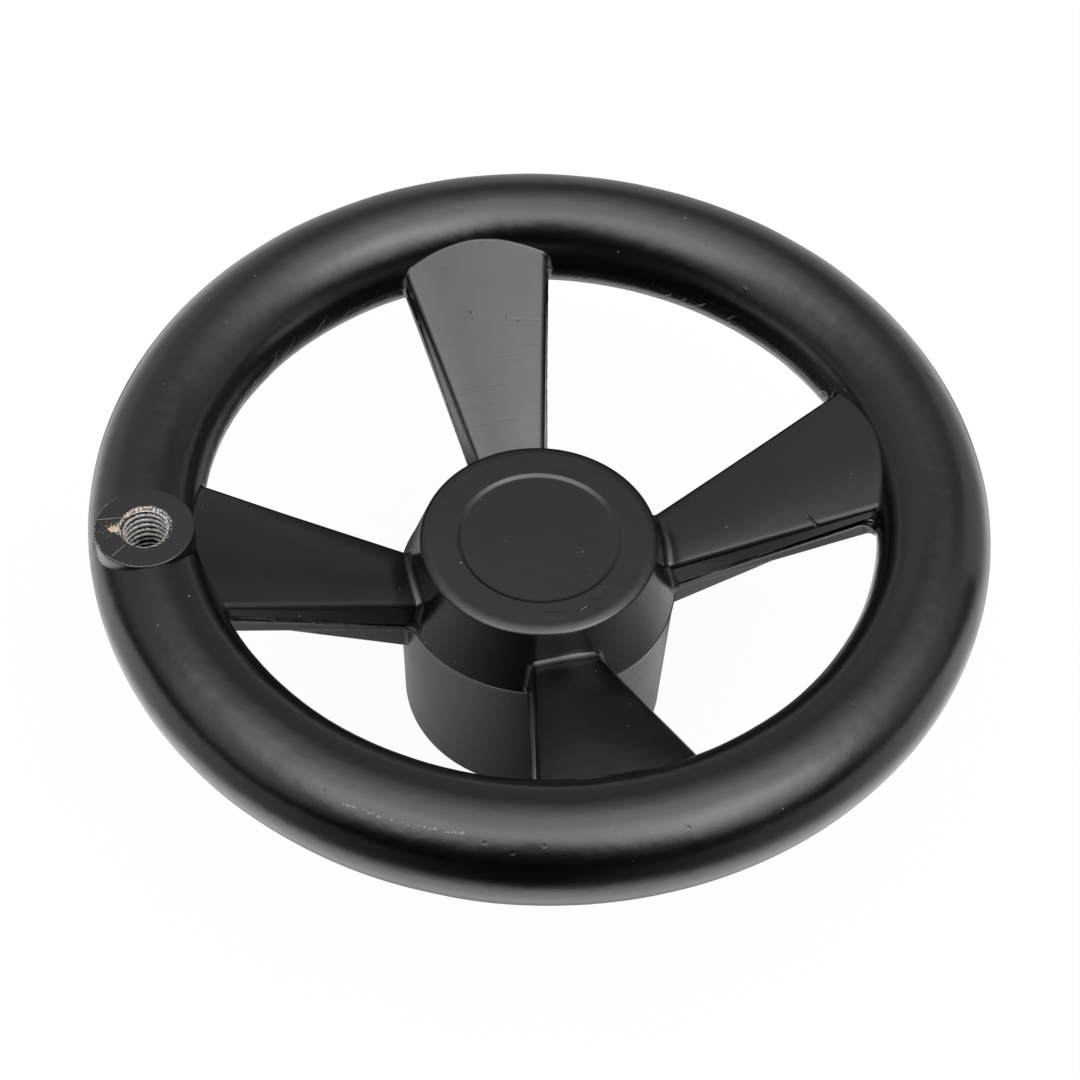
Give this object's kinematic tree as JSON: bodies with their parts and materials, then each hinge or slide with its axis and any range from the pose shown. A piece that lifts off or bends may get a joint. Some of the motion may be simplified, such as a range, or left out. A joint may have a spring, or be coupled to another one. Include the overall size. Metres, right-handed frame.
{
  "type": "handwheel",
  "caption": "Dished handwheel with a round rim, fan-shaped spokes, a long closed hub and a threaded handle boss on the rim; turns a shaft by hand.",
  "frame": {"origin": "centre of the hub's foot, the face that the shaft enters", "axes": "+Z along the wheel's axis towards the closed front face of the hub; spokes on +X, +Y, -X and -Y; handle boss on -X; keyway of the shaft bore on +X"},
  "size_m": [0.18, 0.18, 0.0728],
  "materials": {
    "black_paint": "satin black paint over a cast surface, bare metal in the tapped hole"
  },
  "bodies": {
    "root": {"handwheel": "black_paint"}
  },
  "joints": []
}
